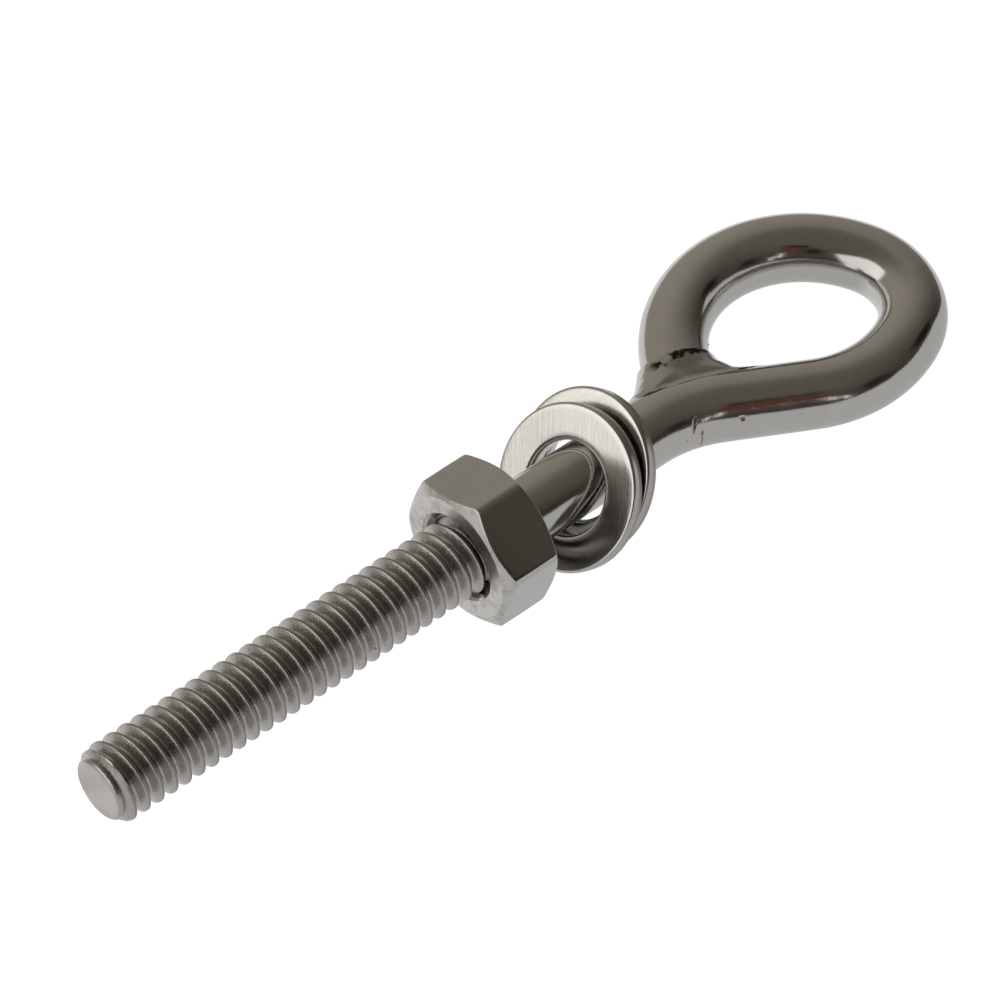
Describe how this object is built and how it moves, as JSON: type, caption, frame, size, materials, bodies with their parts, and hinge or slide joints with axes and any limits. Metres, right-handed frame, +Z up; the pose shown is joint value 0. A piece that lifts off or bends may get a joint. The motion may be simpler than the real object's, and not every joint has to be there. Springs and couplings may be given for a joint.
{
  "type": "eye bolt",
  "caption": "Welded eye bolt in stainless steel: a threaded shank ends in a closed round eye, with a hex nut and loose flat washers on the shank.",
  "frame": {"origin": "middle of the part's footprint, on the surface it lies on", "axes": "+Z up from that surface; +X along the part's length, from the threaded tip to the eye; the eye's plane is within five degrees of level"},
  "size_m": [0.081, 0.0204, 0.0125],
  "materials": {
    "polished_rod": "polished stainless steel, thread rolled",
    "weld_metal": "polished weld with scorch marks",
    "polished_nut": "polished flats, matt chamfered faces",
    "brushed_front_washer": "fine one-way brushed faces, stamped edge",
    "brushed_rear_washer": "fine one-way brushed faces, stamped edge"
  },
  "bodies": {
    "eye_bolt": {"eye_rod": "polished_rod", "weld_bead": "weld_metal"},
    "front_washer_body": {"front_washer": "brushed_front_washer"},
    "nut_body": {"hex_nut": "polished_nut"},
    "rear_washer_body": {"rear_washer": "brushed_rear_washer"}
  },
  "joints": [
    {"name": "nut_and_washer_turn", "type": "hinge", "parent": "eye_bolt", "child": "front_washer_body", "pos_m": [-0.04031, -0.0011, 0.00924], "axis": [-0.9966, 0, 0.0819], "range_deg": [0, 11160]},
    {"name": "nut_travel", "type": "slide", "parent": "front_washer_body", "child": "nut_body", "axis": [-0.9966, 0, 0.0819], "range_m": [0, 0.03939]},
    {"name": "rear_washer_slide", "type": "slide", "parent": "front_washer_body", "child": "rear_washer_body", "axis": [0.9966, 0, -0.0819], "range_m": [0, 0.0012]}
  ],
  "couplings": [
    {"joint": "nut_travel", "follows": "nut_and_washer_turn", "m_per_rad": 0.00020213}
  ]
}
